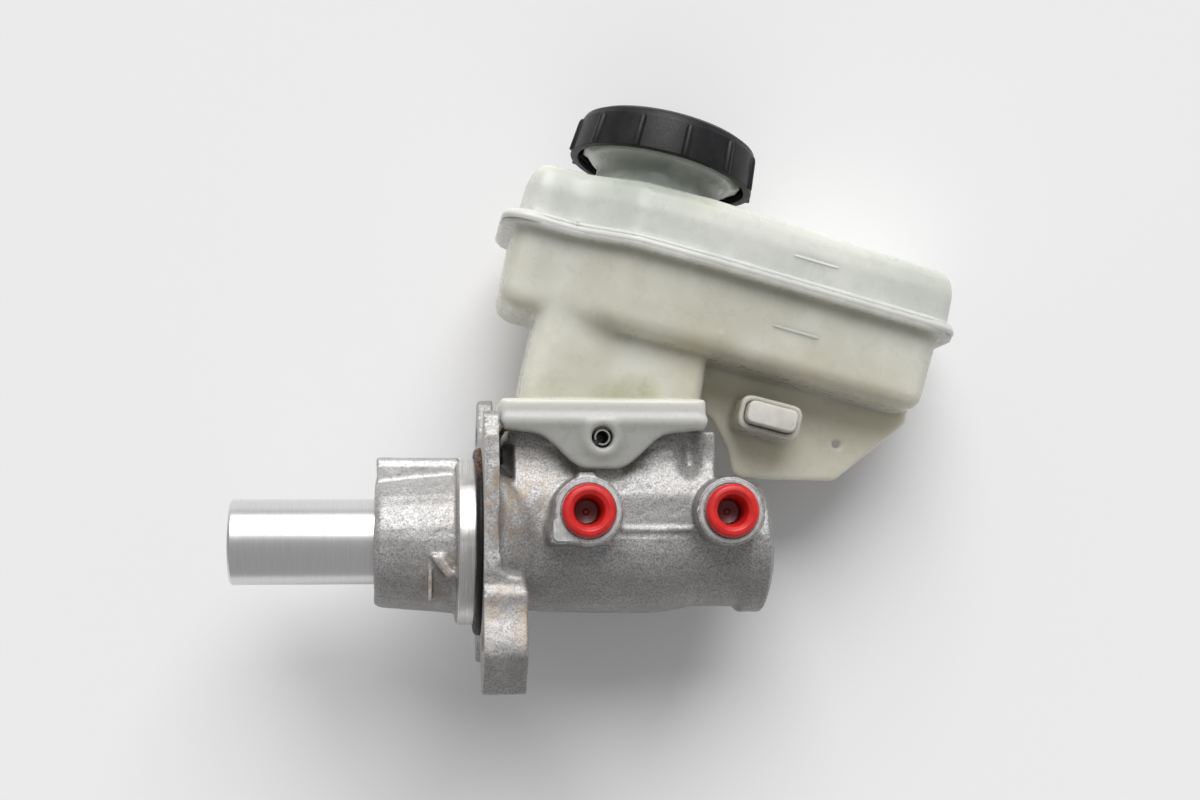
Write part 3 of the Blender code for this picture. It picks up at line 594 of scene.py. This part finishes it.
def casting_tools():
    """The turned tools that bore the casting and face it."""
    bore = cutter([(-32, 0, 0), (-32, 15.8, 0), (-29.2, 15.8, 0), (-28.6, 15.2, 0), (-26.6, 15.2, 0),
                   (-26.6, 16.4, 0), (-24.6, 16.4, 0), (-24.6, 15.2, 0), (-10, 15.2, 0), (-10, 13.5, 0),
                   (76.5, 13.5, 0), (78.5, 8.5, 0), (78.5, 0, 0)])
    o_ring_bed = cutter([(-1, 20, 0), (-1, 26.3, 0), (1.3, 26.3, 0.3), (1.3, 20, 0)], steps=128)
    tools = [bore, o_ring_bed]
    port = [(9, 0, 0), (9, 2, 0), (17.5, 2, 0), (19, 4.8, 0), (27.0, 5.3, 0), (27.7, 6.0, 0),
            (27.7, 7.6, 0), (30, 7.6, 0), (30, 0, 0)]
    for x in PORT_X:
        tools.append(cutter(port, "-Y", Matrix.Translation((x, 0, PORT_Z))))
    grommet_bed = [(22, 0, 0), (22, 9.5, 0.4), (33, 9.5, 0), (33, 0, 0)]
    for x in TOWER_X:
        tools.append(cutter(grommet_bed, "Z", Matrix.Translation((x, 0, 0))))
    pin_hole = [(-25, 0, 0), (-25, 2.6, 0), (25, 2.6, 0), (25, 0, 0)]
    tools.append(cutter(pin_hole, "-Y", Matrix.Translation((PIN_X, 0, PIN_Z)), 40))
    stud_hole = [(-2, 0, 0), (-2, 4.6, 0), (13.6, 4.6, 0), (13.6, 0, 0)]
    for side in (-1, 1):
        tools.append(cutter(stud_hole, "X", Matrix.Translation((0, side * STUD_Y, side * STUD_Z)), 48))
    nut_room = [(11.6, 0, 0), (11.6, 8.6, 0), (26, 8.6, 0), (26, 0, 0)]
    tools.append(cutter(nut_room, "X", Matrix.Translation((0, STUD_Y, STUD_Z)), 64))
    return tools


def flank(side):
    """The draped outer wall of the block under the reservoir, in (y, z)."""
    run = [(17.4, 29.9, 0), (17.0, 25.0, 3), (17.3, 21.0, 4), (19.2, 16.5, 5), (20.4, 12.0, 4),
           (20.4, 2.0, 0), (14.5, 2.0, 0), (14.5, 14.0, 0), (10.8, 22.0, 0), (10.8, 29.9, 0)]
    return [(side * y, z) for y, z in eased(run, 5)]


def hollowed(co):
    """Slopes the ears' outer sides, sinks a groove beside the front tower and narrows the block's waist."""
    x, y, z = (co * PER_METRE).T
    for side in (-1, 1):
        out, down = -side * y, -side * z
        slope = 2.3 * ramp(29.6 - down, 0, 13) * ramp(down, 8.5, 13) * ramp(out, 25, 30)
        groove = 2.3 * np.exp(-((x - 57.6) / 2.7) ** 2) * ramp(z, 15, 21) * ramp(out, 12, 15)
        waist = 1.2 * np.exp(-((x - 42) / 5.0) ** 2) * ramp(z, 18, 25) * ramp(out, 12, 15)
        y = y + side * (slope * ramp(12.5 - x, 0, 1) + groove + waist)
    return np.stack([x, y, z], 1) * MM


def add_flash(bm):
    """The flash lines along the barrel and round the flange's rim."""
    add_prism(bm, [(-21.0, 2.2), (-20.7, 3.3), (-17, 3.6), (-17, 1.8)], "X", 38.0, 57.5)
    add_prism(bm, [(-31.35, 20), (-30.5, 20), (-30.5, -8), (-31.35, -8)], "X", 1.9, 2.4)


def add_tick(bm):
    """The raised tick on the spigot's near side, with its cast web."""
    tick = eased([(-14.2, -4.2, 0.4), (-10.6, -4.0, 0.6), (-6.6, -9.8, 0.4), (-9.6, -10.2, 0.5),
                  (-12.4, -7.0, 0.8)], 3)
    add_prism(bm, tick, "Y", -20.3, -14)
    add_prism(bm, [(-14.6, -5), (-13.4, -5), (-13.4, -16.5), (-14.6, -16.5)], "Y", -18.6, -12)


def add_block(bm):
    """The block under the reservoir, its front shoulders and the swelling where it meets the flange."""
    shoulder = [(17.4, 29.9), (16.6, 18), (12, 18), (12, 29.9)]
    for side in (-1, 1):
        add_prism(bm, flank(side), "X", 8.6, 64.3)
        add_prism(bm, [(side * y, z) for y, z in shoulder], "X", 60.2, 64.6)
        add_ball(bm, (3, side * 15.5, 2), (13.5, 9.4, 16), 2.5)


def add_webs(bm):
    """The gusset between each of the flange's ears and the barrel."""
    inner, outer = 12, 31.2
    web = eased([(1.0, -4, 0), (4.6, -4, 1.2), (5.2, -10.5, 2.5), (11.4, -13.0, 2.0), (11.55, -27, 0),
                 (1.0, -27, 0)], 4)
    for side in (-1, 1):
        low, high = sorted((-side * inner, -side * outer))
        add_prism(bm, [(x, side * z) for x, z in web], "Y", low, high)


def add_fillet(bm):
    """The ring that fills the corner between the flange and the barrel."""
    ring = eased([(0.6, 14, 0), (0.6, 25.5, 0), (4.1, 25.5, 0.6), (5.4, 21.6, 1.4), (9.4, 19.8, 1.6),
                  (10, 14, 0)], 4)
    fillet = lathe("fillet", [(a, r, 0) for a, r in ring], steps=64)
    fillet.transform(Matrix.Scale(PER_METRE, 4))
    bm.from_mesh(fillet)


def add_port_bosses(bm):
    """The swellings under the ports."""
    add_ball(bm, (28, -15, 6), (11.0, 9, 10.5))
    add_ball(bm, (66, -14, 6), (10.5, 9, 10.5))


def crisp_places(co):
    """True on the spigot's land, the flange's mounting face and the milled port faces."""
    x, y, z = (co * PER_METRE).T
    out = np.hypot(y, z)
    crisp = (out > 20.5) & (out < 24) & (x > -7.4) & (x < 0.2)
    crisp |= (x < 0.8) & (x > -1) & (out > 26)
    for port in PORT_X:
        crisp |= (y < -27.4) & (np.hypot(x - port, z - PORT_Z) < 9.0)
    return crisp


def sand_lift(co):
    """How far the sand mould's unevenness lifts each point, in millimetres."""
    waves = ((120, 0.22), (420, 0.10), (1100, 0.05))
    return np.array([sum(noise.noise(Vector(c * rate)) * height for rate, height in waves) for c in co])


def casting():
    """The CAD casting with its fillets, flash lines and swellings, remeshed and uneven like sand casting."""
    bm = cad_bmesh("cylinder_body")
    for add in (add_flash, add_tick, add_block, add_webs, add_fillet, add_port_bosses):
        add(bm)
    mesh = remeshed("casting", bm, CASTING_VOXEL)
    crisp = crisp_places(points_of(mesh))
    co = relax(mesh, CASTING_ROUNDS, np.where(crisp, 0.85, 0.0))
    co = melted(mesh, co, [((x, side * y, z), reach) for side in (-1, 1)
                           for x, y, z, reach in ((11, 23, 4, 12), (9, 26, side * 10, 9))])
    co = hollowed(co)
    put_points(mesh, co)
    normals = np.empty(len(mesh.vertices) * 3)
    mesh.vertices.foreach_get("normal", normals)
    lift = sand_lift(co) * np.where(crisp, 0.0, 1.0) - 0.04
    co = co + normals.reshape(-1, 3) * (lift * MM)[:, None]
    put_in_box(mesh, co, "cylinder_body")
    mesh = smooth_all(cut_away(mesh, casting_tools()))
    mesh.set_sharp_from_angle(angle=math.radians(50))
    new_object("casting", mesh, CAST, "cylinder", "cast_aluminium", "cylinder_body")


def machined_faces():
    """The turned and milled faces of the casting, which are crisp and bright."""
    land = lathe("spigot_land", [(-6.5, 22.0, 0), (-6.25, 23.2, 0.25), (-2.1, 23.25, 0.2), (-0.3, 23.05, 0),
                                 (-0.3, 21.5, 0)], steps=128, segments=3)
    new_object("spigot_land", land, MACHINED, "cylinder", "cast_aluminium")
    for k, x in enumerate(PORT_X):
        new_object(f"port_face_{k}", port_face(k, x), MILLED, "cylinder", "cast_aluminium")


def port_face(k, x):
    """The milled face round a port: round, with the rear one running out into a corner low on the left."""
    radius, hole, steps = 8.9 - 0.1 * k, 7.6, 120
    left, below, corner = 9.6, 8.2, 11.9
    bm = bmesh.new()
    outer, inner = [], []
    for y, shrink in ((-27.3, 0.1), (-27.9, 0.1), (-28.0, 0.25)):
        rim, mouth = [], []
        for n in range(steps):
            a = math.tau * n / steps
            c, d = math.cos(a), math.sin(a)
            reach = radius
            if k == 0 and c < -0.25 and d < -0.25:
                reach = min(left / -c, below / -d, corner)
            for loop, r in ((rim, reach - shrink), (mouth, hole + shrink * 0.4)):
                loop.append(bm.verts.new((x + r * c, y, PORT_Z + r * d)))
        outer.append(rim)
        inner.append(mouth)
    skin(bm, outer + inner[::-1] + outer[:1])
    return mesh_of(bm, f"port_face_{k}")


# ---------------------------------------------------------------- pistons, seals, plugs

def piston():
    outline = [(-24, 0, 0), (-27, 8.6, 0.4), (-68.2, 8.6, 0.3), (-68.8, 9.2, 0.2), (-68.8, 11.2, 0.35),
               (-68.1, 11.9, 0.4), (-10.0, 11.9, 0), (-9.7, 13.2, 0.2), (-8.0, 13.2, 0.1), (-8.0, 10.6, 0.1),
               (-4.4, 10.6, 0.1), (-4.4, 13.2, 0.1), (-2.8, 13.2, 0.3), (-1.8, 9.6, 0.5), (3.6, 9.6, 0.5),
               (4.8, 13.2, 0.3), (8.0, 13.2, 0.2), (8.0, 8.0, 0.1), (12.6, 8.0, 0.2), (13.4, 7.2, 0.2),
               (13.4, 5.7, 0.1), (6.2, 5.7, 0.1), (6.2, 2.6, 0.1), (0.5, 2.6, 0), (-0.5, 0, 0)]
    new_object("piston_stem", lathe("piston_stem", outline, steps=160), BRUSHED, "primary_piston",
               "aluminium", "primary_piston")


def o_ring():
    x, middle, thick, sides = -0.42, 24.9, 1.37, 20
    turns = (math.tau * k / sides for k in range(sides))
    circle = [(x + thick * math.cos(a), middle + thick * math.sin(a), 0) for a in turns]
    mesh = lathe("spigot_o_ring", circle, steps=144, sharp=80)
    new_object("spigot_o_ring", mesh, rubber("o_ring_rubber", True), "cylinder", "rubber", "flange_o_ring")


def plugs():
    outline = [(19.6, 0, 0), (19.6, 3.9, 0.4), (20.4, 4.6, 0.3), (27.6, 4.9, 0.3), (28.3, 5.3, 0.2),
               (28.3, 6.9, 0.2), (28.7, 7.25, 0.25), (30.3, 7.25, 0.5), (31.05, 6.5, 0.5), (31.2, 5.5, 0.35),
               (30.3, 4.3, 0.7), (27.5, 3.75, 0.4), (21.6, 3.35, 0.5), (21.2, 0.9, 0.3), (21.6, 0.6, 0.1),
               (21.6, 0, 0)]
    for end, x in zip(("rear", "front"), PORT_X):
        name = f"port_plug_{end}"
        mesh = lathe(f"{name}_look", outline, "-Y", Matrix.Translation((x, 0, PORT_Z)))
        new_object(f"{name}_look", mesh, RED, f"{end}_plug", "red_plastic", name)


def roll_pin():
    """A rolled steel pin with an open seam and eased ends."""
    radius, hollow, half, easing = 2.3, 1.65, 24.0, 0.25
    start, sweep, steps = 240, 320, 48
    run = [math.radians(start + sweep * k / steps) for k in range(steps + 1)]
    bm = bmesh.new()
    rings = []
    for y, shrink in ((-half, 0.18), (-half + easing, 0), (half - easing, 0), (half, 0.18)):
        outside = [(radius - shrink, a) for a in run]
        inside = [(hollow + shrink * 0.5, a) for a in reversed(run)]
        rings.append([bm.verts.new((PIN_X + r * math.cos(a), y, PIN_Z + r * math.sin(a)))
                      for r, a in outside + inside])
    skin(bm, rings)
    last = len(rings[0]) - 1
    for ring in (rings[0], rings[-1]):
        for k in range(steps):
            bm.faces.new((ring[k], ring[k + 1], ring[last - 1 - k], ring[last - k]))
    new_object("roll_pin", mesh_of(bm, "roll_pin"), STEEL, "cylinder", "steel", "reservoir_roll_pin")


# ---------------------------------------------------------------- reservoir

def moulded(name, node, material, nubs=(), melt=()):
    """A CAD shell remeshed and evened out.

    Nubs are (centre, radii) of small balls on it; melt lists (centre, reach) where it flows together more.
    """
    bm = cad_bmesh(node)
    for centre, radii in nubs:
        add_ball(bm, centre, radii)
    mesh = remeshed(name, bm, TANK_VOXEL)
    relax(mesh, TANK_ROUNDS)
    co = relax(mesh, PLAIN_ROUNDS, swell=0.0)
    if melt:
        co = melted(mesh, co, melt)
    put_in_box(mesh, co, node)
    obj = new_object(name, smooth_all(mesh), material, "cylinder", "natural_plastic", node)
    obj.cycles.shadow_terminator_offset = 0.3
    obj.cycles.shadow_terminator_geometry_offset = 0.2


def mark_ring(bm, tree, side, s, t, size):
    """One cross-section of a level line, on the wall that a ray from outside the tank hits."""
    ring = []
    for up, out in ((-0.6, -0.3), (-0.3, 0.22), (0.3, 0.22), (0.6, -0.3)):
        origin = TANK @ Vector((s, side * 45, t + up * size))
        hit = tree.ray_cast(origin, Vector((0, -side, 0)))[0]
        ring.append(bm.verts.new(hit + Vector((0, side * out * size, 0))))
    return ring


def level_marks():
    """Two thin raised level lines on each side of the tank, laid on the walls."""
    steps = 12
    for node, name, t, start, end in (("reservoir_lower", "level_mark_low", -12.2, 9.5, 23.3),
                                      ("reservoir_upper", "level_mark_high", 8.8, 11.0, 24.5)):
        source = cad_bmesh(node)
        tree = BVHTree.FromBMesh(source)
        bm = bmesh.new()
        for side in (-1, 1):
            capped_skin(bm, [mark_ring(bm, tree, side, start + (end - start) * k / steps, t,
                                       0.55 if k in (0, steps) else 1.0) for k in range(steps + 1)])
        source.free()
        new_object(name, mesh_of(bm, name, sharp=60), TRIM_PLASTIC, "cylinder", "natural_plastic")


def reservoir():
    """The reservoir's halves; the lower one has a nub on each side and melts together over its leg."""
    nubs = [((65.5, side * 22.6, 56.4), (1.4, 1.8, 1.4)) for side in (-1, 1)]
    corners = [((x, side * y, z), reach) for side in (-1, 1)
               for x, y, z, reach in ((24, 18.5, 62, 13), (17, 18, 54, 10), (30, 20, 56, 9))]
    moulded("reservoir_lower_look", "reservoir_lower", LOWER_PLASTIC, nubs, corners)
    moulded("reservoir_upper_look", "reservoir_upper", UPPER_PLASTIC)


def tank_plan(grow):
    """The tank's outline in (s, y), grown outward by grow."""
    rear, front, segments = -67.0 - grow, 58.7 + grow, 10
    corner = max(7.0 + grow, 1.5)
    side = [(rear, 20.8 + grow, corner), (-50, 19.0 + grow, 12), (-34, 26.0 + grow, 10),
            (-14, 25.6 + grow, 6), (front, 18.6 + grow, corner)]
    around = eased([(s, -y, r) for s, y, r in side] + [(s, y, r) for s, y, r in reversed(side)], segments)
    near = around[:len(around) // 2]
    return near + [(s, -y) for s, y in reversed(near)]


def spring(name, node, body, turns, wire):
    """A coil spring with closed ends, sized to the CAD spring's box and riding on one body."""
    low, high = (c * PER_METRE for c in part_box(node))
    start, end = low[0] + wire, high[0] - wire
    reach = (high[1] - low[1]) / 2 - wire
    flat, steps, sides = 0.6, int(turns * 36), 12
    bm = bmesh.new()
    loops = []
    for k in range(steps + 1):
        turn = turns * k / steps
        rise = min(max((turn - flat) / (turns - 2 * flat), 0), 1)
        a = math.tau * turn
        across = Vector((0, math.cos(a), math.sin(a)))
        centre = Vector((start + (end - start) * rise, 0, 0)) + across * reach
        loops.append([bm.verts.new(centre + across * wire * math.cos(b) + Vector((wire * math.sin(b), 0, 0)))
                      for b in (math.tau * n / sides for n in range(sides))])
    capped_skin(bm, loops)
    obj = new_object(name, mesh_of(bm, name), STEEL, body, "steel", node)
    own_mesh(obj)


def weld_bead():
    """The thin melted line where the two halves are welded."""
    bm = bmesh.new()
    profile = ((3.4, -1.1), (3.72, -0.45), (3.78, 0.0), (3.7, 0.45), (3.3, 1.1), (0.8, 0.4), (0.8, -0.4))
    loops = [[bm.verts.new(TANK @ Vector((s, y, t))) for s, y in tank_plan(grow)] for grow, t in profile]
    skin(bm, loops + loops[:1])
    new_object("weld_bead", mesh_of(bm, "weld_bead"), TRIM_PLASTIC, "cylinder", "natural_plastic")


def sensor():
    """The white reed switch, a rounded box whose end stands out of its tunnel."""
    bm = bmesh.new()
    corners = [(9.0, -39.4, 2.2), (23.4, -39.4, 2.2), (23.4, -33.0, 2.2), (9.0, -33.0, 2.2)]
    add_prism(bm, eased(corners, 6), "Y", -18.4, -3.2, TANK)
    rim = [e for e in bm.edges if e.calc_face_angle(0) > math.radians(60)]
    bmesh.ops.bevel(bm, geom=rim, offset=0.7, segments=4, affect="EDGES", profile=0.5)
    mesh = mesh_of(bm, "sensor_body")
    new_object("sensor_body", mesh, WHITE, "level_sensor", "white_plastic", "level_sensor")


def cap():
    """The screw cap: skirt with half-round ribs, flat rim and thread lugs inside."""
    low, high, radius = 26.6, 39.4, 28.0
    inner = radius - 3.2
    place = TANK @ Matrix.Translation((CAP_S, 0, 0))
    outline = [(high - 2.4, 0, 0), (high - 2.4, inner, 0.6), (low, inner, 0.25), (low, radius - 0.95, 0.3),
               (high - 3.0, radius - 1.9, 1.0), (high - 1.2, radius - 2.6, 1.0), (high, radius - 4.8, 1.2),
               (high, radius - 9.0, 0), (high - 0.5, radius - 9.8, 0.2), (high - 0.5, 0, 0)]
    bm = bmesh.new()
    bm.from_mesh(lathe("cap_look", outline, "Z", place, steps=144))
    bmesh.ops.scale(bm, vec=(PER_METRE,) * 3, verts=bm.verts)
    ribs, lugs = 12, 3
    for k in range(ribs):
        spin = place @ Matrix.Rotation(math.radians(-84 + 360 / ribs * k), 4, "Z")
        add_rib(bm, spin, radius, low, high)
    lug = [(inner - 1.0, -5), (inner + 0.4, -5), (inner + 0.4, 5), (inner - 1.0, 5)]
    for k in range(lugs):
        spin = place @ Matrix.Rotation(math.radians(35 + 360 / lugs * k), 4, "Z")
        add_prism(bm, lug, "Z", low + 1.6, low + 3.2, spin)
    new_object("cap_look", mesh_of(bm, "cap_look"), BLACK, "cap", "black_plastic", "reservoir_cap")


def add_rib(bm, spin, radius, low, high):
    """A half-round grip rib with a domed top, standing on the cap's wall."""
    sides, sunk, stand, half_width = 10, 0.6, 0.95, 1.3
    loops = []
    for h, size in ((low + 0.15, 0.92), (low + 0.4, 1.0), (high - 4.4, 0.98), (high - 3.6, 0.84),
                    (high - 3.1, 0.55), (high - 2.9, 0.2)):
        wall = radius - 1.0 - 0.95 * (h - low) / (high - 3.0 - low)
        loops.append([bm.verts.new(spin @ Vector((wall - sunk + (sunk + stand * size) * math.cos(a),
                                                  half_width * size * math.sin(a), h)))
                      for a in (math.pi * (n / sides - 0.5) for n in range(sides + 1))])
    capped_skin(bm, loops)


casting()
machined_faces()
piston()
o_ring()
plugs()
roll_pin()
spring("primary_spring_coils", "primary_spring", "secondary_piston", 4.2, 1.0)
spring("secondary_spring_coils", "secondary_spring", "cylinder", 5.2, 0.9)
reservoir()
weld_bead()
level_marks()
sensor()
cap()


# ---------------------------------------------------------------- stage, light and camera

# The camera's place, in metres, and its directions.
EYE = Vector((-0.02008, -0.47238, -0.01018))
RIGHT = Vector((0.99345, -0.11416, -0.00518)).normalized()
AHEAD = Vector((0.11407, 0.98785, 0.10557)).normalized()
UP = RIGHT.cross(AHEAD)

BOARD_AHEAD = 0.046
BOARD_SIZE = (0.9, 0.7)
FLOOR_Z = -0.13
FLOOR_SIZE = (30, 30)
BOARD_SHADE, FLOOR_SHADE = 0.86, 0.56
ROOM_LIGHT = (0.36, 0.36, 0.365, 1)
ROOM_SEEN = (0.80, 0.80, 0.81, 1)
KEY_STRENGTH = 3.05
BACK_STRENGTH = 0.8
SOURCE_WIDTH = math.radians(46)
KEY_LIFT = math.radians(51)


def facing(point):
    """The camera's orientation, placed at a point."""
    turn = Matrix((RIGHT, UP, -AHEAD)).transposed().to_4x4()
    return Matrix.Translation(point) @ turn


def stage_plane(name, matrix, size, material):
    """A flat rectangle in metres that is stage, not part of the object."""
    half_width, half_height = size[0] / 2, size[1] / 2
    bm = bmesh.new()
    corners = [(-half_width, -half_height, 0), (half_width, -half_height, 0), (half_width, half_height, 0),
               (-half_width, half_height, 0)]
    bm.faces.new([bm.verts.new(c) for c in corners])
    mesh = bpy.data.meshes.new(name)
    bm.to_mesh(mesh)
    bm.free()
    mesh.materials.append(material)
    obj = in_scene(name, mesh)
    obj.matrix_world = matrix
    return obj


def board_material(name, shade):
    """A pale board that is only there from its front."""
    mat = bpy.data.materials.new(name)
    mat.use_nodes = True
    tree = mat.node_tree
    shader = tree.nodes["Principled BSDF"]
    shader.inputs["Base Color"].default_value = (shade, shade * 0.995, shade, 1)
    shader.inputs["Roughness"].default_value = 0.9
    shader.inputs["Specular IOR Level"].default_value = 0.1
    side = tree.nodes.new("ShaderNodeNewGeometry")
    clear = tree.nodes.new("ShaderNodeBsdfTransparent")
    mix = tree.nodes.new("ShaderNodeMixShader")
    tree.links.new(side.outputs["Backfacing"], mix.inputs[0])
    tree.links.new(shader.outputs[0], mix.inputs[1])
    tree.links.new(clear.outputs[0], mix.inputs[2])
    tree.links.new(mix.outputs[0], tree.nodes["Material Output"].inputs["Surface"])
    return mat


def stage():
    """A pale board square to the camera that casts no shadow, and a pale floor that bounces no light."""
    middle = EYE + AHEAD * (BOARD_AHEAD - AHEAD.dot(EYE))
    backdrop = stage_plane("backdrop", facing(middle), BOARD_SIZE, board_material("pale_board", BOARD_SHADE))
    backdrop.visible_shadow = False
    ground = board_material("pale_floor", FLOOR_SHADE)
    floor = stage_plane("floor", Matrix.Translation((0, 0, FLOOR_Z)), FLOOR_SIZE, ground)
    floor.visible_glossy = False
    floor.visible_diffuse = False


def soft_light(name, shine, strength):
    """A source as wide as a studio sky, shining along shine."""
    light = bpy.data.lights.new(name, "SUN")
    light.energy = strength
    light.angle = SOURCE_WIDTH
    obj = in_scene(name, light)
    obj.rotation_euler = shine.to_track_quat("-Z", "Y").to_euler()


def lights():
    """A strong soft source high in front, a weak one behind, and a dim room all round."""
    soft_light("key", AHEAD * math.cos(KEY_LIFT) - UP * math.sin(KEY_LIFT) - RIGHT * 0.08, KEY_STRENGTH)
    soft_light("back", -AHEAD * 0.8 - UP * 0.7 + RIGHT * 0.3, BACK_STRENGTH)
    world = bpy.data.worlds.new("studio")
    bpy.context.scene.world = world
    world.use_nodes = True
    tree = world.node_tree
    back = tree.nodes["Background"]
    back.inputs["Color"].default_value = ROOM_LIGHT
    pale = tree.nodes.new("ShaderNodeBackground")
    pale.inputs["Color"].default_value = ROOM_SEEN
    path = tree.nodes.new("ShaderNodeLightPath")
    mix = tree.nodes.new("ShaderNodeMixShader")
    tree.links.new(path.outputs["Is Camera Ray"], mix.inputs[0])
    tree.links.new(back.outputs[0], mix.inputs[1])
    tree.links.new(pale.outputs[0], mix.inputs[2])
    tree.links.new(mix.outputs[0], tree.nodes["World Output"].inputs["Surface"])


def camera():
    data = bpy.data.cameras.new("camera")
    data.lens = 50.01
    data.sensor_width = 36
    data.clip_start = 0.01
    obj = in_scene("camera", data)
    obj.matrix_world = facing(EYE)
    bpy.context.scene.camera = obj


stage()
lights()
camera()
bpy.context.scene.view_settings.view_transform = "Standard"

bpy.context.view_layer.update()
